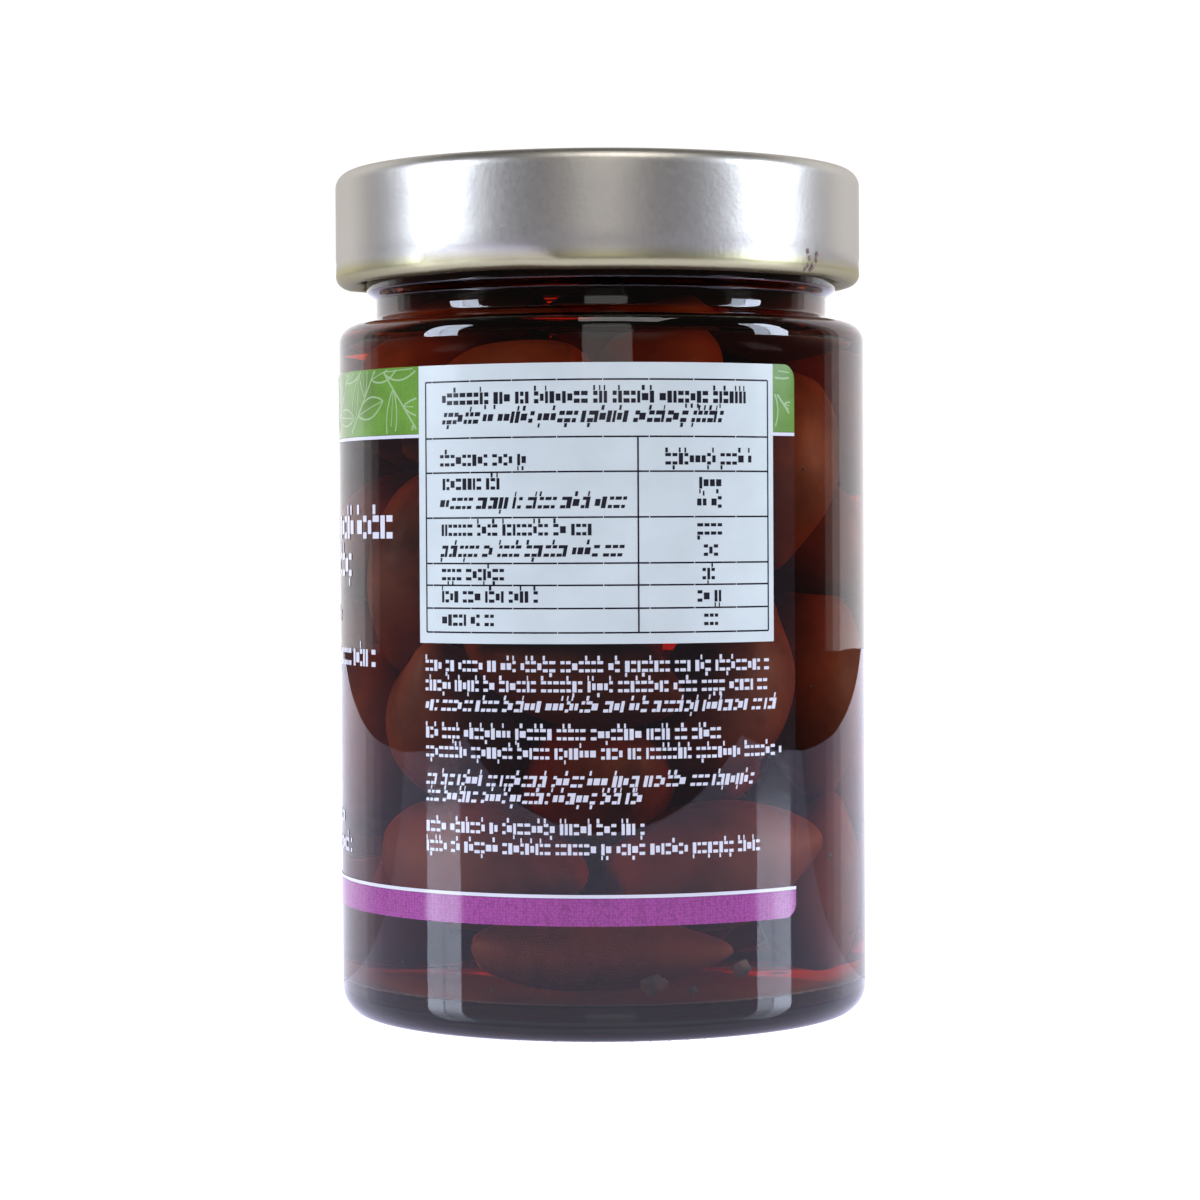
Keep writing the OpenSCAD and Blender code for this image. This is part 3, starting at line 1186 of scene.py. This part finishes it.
class OLIVEJAR_OT_print(bpy.types.Operator):
    """Add the label's print: panel, rules, rows of marks, bands and leaf line work"""

    bl_idname = "olive_jar.print"
    bl_label = "Label print"

    def execute(self, context):
        colours = context.scene.olive_jar_label
        left, right = sides_of_label()
        draw = random.Random(41)
        white = print_material("white ink", (0.80, 0.80, 0.82))
        panel = ink_sheet("print_panel", PANEL_LEFT, PANEL_RIGHT, PANEL_LOW_Z, TOP_Z)
        finish_print(panel, print_material("panel ink", colours.panel))
        green = join([
            ink_sheet("print_green", left, PANEL_LEFT, GREEN_LOW_Z, TOP_Z, (0, 0, 0, CORNER_R)),
            ink_sheet("green_right", PANEL_RIGHT, right, GREEN_LOW_Z, TOP_Z, (0, 0, CORNER_R, 0)),
        ], "print_green")
        finish_print(green, print_material("green ink", colours.green, 0.12, 0.22))
        magenta = ink_sheet(
            "print_magenta", left, right, MAGENTA_LOW_Z, MAGENTA_HIGH_Z, (CORNER_R, CORNER_R, 0, 0)
        )
        ink = print_material("magenta ink", colours.magenta, 0.45)
        finish_print(magenta, ink)
        self.hairlines(left, right, white)
        self.table(draw, colours)
        self.white_rows(draw, white)
        self.leaves(draw)
        return {"FINISHED"}

    def hairlines(self, left, right, white):
        """Adds the thin white rules along the inner edges of the two bands."""
        rules = (
            (left, right, 19.35, 19.8), (left, PANEL_LEFT, 79.3, 79.75),
            (PANEL_RIGHT, right, 79.3, 79.75),
        )
        sheets = [ink_sheet(f"rule_{i}", *rule) for i, rule in enumerate(rules)]
        finish_print(join(sheets, "print_hairlines"), white)

    def table(self, draw, colours):
        """Adds the table's rules and its rows of dark marks."""
        stamp = Stamp("print_table")
        line = 0.22
        left, right, divider = -25.0, 23.3, 4.7
        low, middle, high = 53.75, 79.1, 86.5
        pieces = 24
        for z in (high, middle, 74.6, 68.7, 62.75, 59.9, 56.9, low):
            for i in range(pieces):
                x = left + (right - left) * i / pieces
                stamp.add(x, z - line / 2, (right - left) / pieces, line)
        for x, top in ((left, high), (right, high), (divider, middle)):
            stamp.add(x - line / 2, low, line, top - low)
        # Middle height, left and right end, then italic or bold
        rows = (
            (84.2, -22.2, 20.0, False, True), (81.7, -22.2, 16.7, True, True),
            (76.2, -22.6, -9.2, False, False), (76.2, 8.3, 20.8, False, False),
            (73.1, -22.2, -13.2, False, False), (73.1, 12.9, 16.1, False, False),
            (70.6, -22.6, 3.2, True, False), (70.6, 12.6, 16.4, False, False),
            (67.1, -22.4, -0.1, False, False), (67.1, 12.6, 16.4, False, False),
            (64.35, -22.6, 2.7, True, False), (64.35, 13.5, 16.1, False, False),
            (61.3, -22.4, -12.5, False, False), (61.3, 13.3, 15.9, False, False),
            (58.4, -22.4, -8.0, False, False), (58.4, 12.6, 16.4, False, False),
            (55.35, -22.4, -14.2, False, False), (55.35, 13.5, 16.1, False, False),
        )
        for i, (z, start, end, italic, bold) in enumerate(rows):
            height = MARK_H if i else 1.55
            row_of_marks(stamp, draw, start, end, z - MARK_H / 2, height, italic, bold)
        ink = print_material("dark ink", colours.ink)
        finish_print(stamp.finish(INK_R, INK_T), ink)

    def white_rows(self, draw, white):
        """Adds the white rows under the panel, on the left side and on the far side."""
        stamp = Stamp("print_rows")
        # Middle height, right end and italic
        rows = (
            (49.4, 23.6, False), (46.8, 23.1, False), (44.2, 25.0, True),
            (40.6, 16.1, False), (38.1, 25.7, False), (34.5, 21.4, True), (32.3, 5.9, True),
            (28.3, 5.5, False), (25.7, 21.9, False),
        )
        for z, end, italic in rows:
            row_of_marks(stamp, draw, -25.3, end, z - MARK_H / 2, WHITE_MARK_H, italic)
        title_middle = -68.0
        # Middle height, right end and height of the marks
        titles = (
            (67.6, -30.5, 3.1), (62.5, -43.2, 3.1), (50.0, -34.9, 2.3), (24.3, -43.7, 1.9),
            (55.5, -50.0, 1.5), (28.0, -48.0, 1.5),
        )
        for z, end, height in titles:
            row_of_marks(stamp, draw, 2 * title_middle - end, end, z - height / 2, height)
        for i in range(12):
            end = -112.0 - draw.uniform(0, 14)
            row_of_marks(stamp, draw, -158.0, end, 74.0 - 3.2 * i, WHITE_MARK_H, i % 3 == 2)
        finish_print(stamp.finish(PRINT_R, PRINT_T), white)

    def leaves(self, draw):
        """Adds the leaf line work in the green band, on both sides of the panel."""
        stamp = Stamp("print_leaves")
        left, right = sides_of_label()
        for begin, end in ((left + 0.6, -26.6), (24.5, right - 0.7)):
            field = (begin, end, LEAF_LOW_Z, LEAF_HIGH_Z)
            x = begin - 6.0
            while x < end:
                self.sprig(stamp, draw, x, field)
                x += draw.uniform(7.0, 10.0)
        pale = print_material("pale green ink", (0.40, 0.56, 0.26))
        finish_print(stamp.finish(INK_R, INK_T), pale)

    def sprig(self, stamp, draw, x, field):
        """Draws one curved stalk with leaf outlines on both sides, cut off at the band's edges."""
        strokes, leaf_every = 24, 4
        stalk_line, leaf_line = 0.28, 0.24
        lean = draw.uniform(-0.5, 0.9)
        rising = draw.random() < 0.5
        start, climb = (LEAF_LOW_Z - 2.0, 14.0) if rising else (LEAF_HIGH_Z + 2.0, -14.0)
        stalk = []
        for i in range(strokes + 1):
            t = i / strokes
            stalk.append((x + 12.0 * t + 2.0 * lean * math.sin(3.0 * t), start + climb * t))
        stroke_path(stamp, stalk, stalk_line, field)
        for i in range(leaf_every, strokes, leaf_every):
            px, pz = stalk[i]
            qx, qz = stalk[i - 1]
            along = math.atan2(pz - qz, px - qx)
            side = 1 if (i // leaf_every) % 2 else -1
            turn = along + side * draw.uniform(0.5, 0.9)
            length, width = draw.uniform(6.0, 9.0), draw.uniform(1.8, 2.8)
            leaf_outline(stamp, px, pz, length, width, turn, leaf_line, field)


def finish_print(piece, material):
    """Gives a piece of print its ink, and its place on the jar."""
    smooth(piece, 40.0)
    piece.data.materials.clear()
    piece.data.materials.append(material)
    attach(piece, "root")


# ---------------------------------------------------------------- stage


def light_material(name, colour, strength):
    """Plain light of one colour."""
    material = bpy.data.materials.new(name)
    material.use_nodes = True
    nodes = material.node_tree.nodes
    nodes.clear()
    glow = add_node(nodes, "Emission", {"Color": (*colour, 1), "Strength": strength})
    output = add_node(nodes, "OutputMaterial")
    material.node_tree.links.new(glow.outputs["Emission"], output.inputs["Surface"])
    return material


def light_panel(name, turn_low, turn_high, distance, low, high, colour, strength, steps=4):
    """An upright curved light round the jar, with turns in degrees and sizes in metres."""
    clear_selection()
    bpy.ops.mesh.primitive_grid_add(x_subdivisions=steps, y_subdivisions=1, size=2.0)
    panel = take(name)
    for vertex in panel.data.vertices:
        a = math.radians(turn_low + (turn_high - turn_low) * (vertex.co.x + 1) / 2)
        z = low + (high - low) * (vertex.co.y + 1) / 2
        vertex.co = Vector((distance * math.sin(a), -distance * math.cos(a), z))
    panel.data.materials.append(light_material(name, colour, strength))
    hide_from_camera(panel)


def hide_from_camera(piece):
    """Leaves a piece of the stage only to be mirrored, and to give light."""
    piece.visible_camera = False
    piece.visible_shadow = False


class OLIVEJAR_OT_stage(bpy.types.Operator):
    """Add the floor, the lights and the camera"""

    bl_idname = "olive_jar.stage"
    bl_label = "Stage"

    def execute(self, context):
        sizes = context.scene.olive_jar_stage
        self.add_camera(context)
        self.add_floors()
        self.add_lights(sizes)
        self.add_world(context)
        context.scene.view_settings.view_transform = "Standard"
        context.scene.view_settings.look = "None"
        light_limits = {
            "caustics_reflective": False,
            "caustics_refractive": False,
            "max_bounces": 24,
            "transmission_bounces": 20,
            "transparent_max_bounces": 24,
            "glossy_bounces": 6,
            "diffuse_bounces": 4,
            "blur_glossy": 0.3,
            "sample_clamp_indirect": 4.0,
        }
        for name, value in light_limits.items():
            setattr(context.scene.cycles, name, value)
        return {"FINISHED"}

    def add_camera(self, context):
        data = bpy.data.cameras.new("camera")
        camera = bpy.data.objects.new("camera", data)
        context.collection.objects.link(camera)
        data.sensor_width = 36.0
        data.lens = 103.47
        data.dof.use_dof = False
        data.clip_start = 0.01
        data.clip_end = 100.0
        camera.location = (0.0, -0.482, 0.0667)
        pitch = math.radians(90.0 - 1.12)
        yaw = math.radians(0.0415)
        roll = math.radians(-0.30)
        turn = Matrix.Rotation(yaw, 4, "Z") @ Matrix.Rotation(pitch, 4, "X")
        turn = turn @ Matrix.Rotation(roll, 4, "Z")
        camera.rotation_euler = turn.to_euler()
        context.scene.camera = camera

    def add_floors(self):
        """Adds the floor that shows, and the two sheets of table top that the glass mirrors. The
        sheets glow as painted light of the lit table, and the one behind the jar glows less as a
        painted shadow of the jar.
        """
        clear_selection()
        bpy.ops.mesh.primitive_circle_add(vertices=64, radius=30.0, fill_type="NGON")
        shown = take("floor_shown")
        recipe = Recipe("pale floor", {
            "Base Color": (0.5, 0.5, 0.5, 1), "Roughness": 1.0, "Specular IOR Level": 0.0,
            "Emission Color": (1, 1, 1, 1), "Emission Strength": 1.0,
        })
        shown.data.materials.append(recipe.material)
        shown.visible_diffuse = False
        shown.visible_glossy = False
        shown.visible_transmission = False
        shown.visible_shadow = False
        shown.location.z = -0.00005
        bake_place(shown)
        # The sheets glow as painted light of the lit table top; the one behind the jar glows less,
        # a painted shadow of the jar.
        for name, low, high, glow in (("front", -0.36, 0.03, 0.95), ("back", 0.03, 1.5, 0.6)):
            clear_selection()
            bpy.ops.mesh.primitive_grid_add(x_subdivisions=2, y_subdivisions=2, size=2.0)
            table = take(f"floor_mirrored_{name}")
            for vertex in table.data.vertices:
                vertex.co.x *= 0.62
                vertex.co.y = (low + high) / 2 + vertex.co.y * (high - low) / 2
                vertex.co.z = -0.0001
            recipe = Recipe("table sheen and painted light", {
                "Base Color": (0.12, 0.12, 0.12, 1), "Roughness": 0.07,
                "Emission Color": (0.84, 0.84, 1.2, 1), "Emission Strength": glow,
            })
            table.data.materials.append(recipe.material)
            table.visible_transmission = False
            hide_from_camera(table)

    def add_lights(self, sizes):
        """Adds the side lights, the wide light behind, the card in front and the top light."""
        cool = (0.85, 0.95, 1.15)
        # Both edges' turns from the front, and the share of the side lights' strength
        strips = (
            (-64.0, -72.7, 0.8), (-72.7, -73.5, 0.35), (-73.5, -82.0, 0.9),
            (69.0, 77.0, 0.55), (77.0, 77.8, 0.35), (77.8, 88.0, 1.0),
        )
        for near, far, share in strips:
            light_panel(f"side_light_{near:.0f}", near, far, 6.0, 0.45, 4.6, cool,
                        sizes.side_light * share, 3)
        back = (1.5, 0.0, 1.6)
        light_panel("back_light", 125.0, 235.0, *back, (1.0, 0.99, 1.02), sizes.back_light, 24)
        for side in (-1, 1):
            light_panel(f"back_edge_{side}", side * 118.0, side * 125.0, *back,
                        (1.0, 0.97, 0.96), sizes.back_light * 0.55, 2)
            light_panel(f"back_fade_{side}", side * 112.0, side * 118.0, *back,
                        (1.0, 0.95, 0.93), sizes.back_light * 0.25, 2)
        light_panel("front_card", -8.0, 13.0, 0.9, 0.13, 0.7, (1.0, 0.99, 0.97), 1.25, 4)
        clear_selection()
        bpy.ops.mesh.primitive_grid_add(x_subdivisions=1, y_subdivisions=1, size=0.5)
        top = take("top_light")
        top.location = (0.12, -0.45, 0.95)
        top.rotation_euler = Euler((math.radians(25), math.radians(8), 0))
        bake_place(top)
        top.data.materials.append(light_material("top_light", (1.0, 0.98, 0.96), 3.0))
        hide_from_camera(top)

    def add_world(self, context):
        """Shows a white backdrop, while what surrounds the jar is dim and warm."""
        world = bpy.data.worlds.new("studio")
        world.use_nodes = True
        nodes = world.node_tree.nodes
        link = world.node_tree.links.new
        nodes.clear()
        seen = add_node(nodes, "Background", {"Color": (1, 1, 1, 1), "Strength": 1.05})
        dim = add_node(nodes, "Background", {"Color": (1.0, 0.9, 0.82, 1), "Strength": 0.07})
        ray = add_node(nodes, "LightPath")
        mix = add_node(nodes, "MixShader")
        output = add_node(nodes, "OutputWorld")
        link(ray.outputs["Is Camera Ray"], mix.inputs["Fac"])
        link(dim.outputs["Background"], mix.inputs[1])
        link(seen.outputs["Background"], mix.inputs[2])
        link(mix.outputs["Shader"], output.inputs["Surface"])
        context.scene.world = world


# ---------------------------------------------------------------- panel and registration

STEPS = (
    OLIVEJAR_OT_stage,
    OLIVEJAR_OT_glass,
    OLIVEJAR_OT_brine,
    OLIVEJAR_OT_olives,
    OLIVEJAR_OT_crumbs,
    OLIVEJAR_OT_lid,
    OLIVEJAR_OT_smudges,
    OLIVEJAR_OT_film,
    OLIVEJAR_OT_print,
)

GROUPS = {
    "olive_jar_glass": JarSizes,
    "olive_jar_contents": ContentSizes,
    "olive_jar_lid": LidSizes,
    "olive_jar_label": LabelColours,
    "olive_jar_stage": StageSizes,
}


class OLIVEJAR_PT_panel(bpy.types.Panel):
    """Lists the jar's sizes, colours and steps"""

    bl_idname = "OLIVEJAR_PT_panel"
    bl_label = "Jar of olives"
    bl_space_type = "VIEW_3D"
    bl_region_type = "UI"
    bl_category = "Olive jar"

    def draw(self, context):
        for name, group in GROUPS.items():
            box = self.layout.box()
            for setting in group.__annotations__:
                box.prop(getattr(context.scene, name), setting)
        for step in STEPS:
            self.layout.operator(step.bl_idname)


def register():
    for group in GROUPS.values():
        bpy.utils.register_class(group)
    for step in STEPS:
        bpy.utils.register_class(step)
    bpy.utils.register_class(OLIVEJAR_PT_panel)
    for name, group in GROUPS.items():
        setattr(bpy.types.Scene, name, bpy.props.PointerProperty(type=group))


def unregister():
    for name in GROUPS:
        delattr(bpy.types.Scene, name)
    bpy.utils.unregister_class(OLIVEJAR_PT_panel)
    for step in reversed(STEPS):
        bpy.utils.unregister_class(step)
    for group in GROUPS.values():
        bpy.utils.unregister_class(group)


def main():
    register()
    clear_selection()
    for step in STEPS:
        prefix, name = step.bl_idname.split(".")
        getattr(getattr(bpy.ops, prefix), name)()
    clear_selection()


if __name__ == "__main__":
    main()
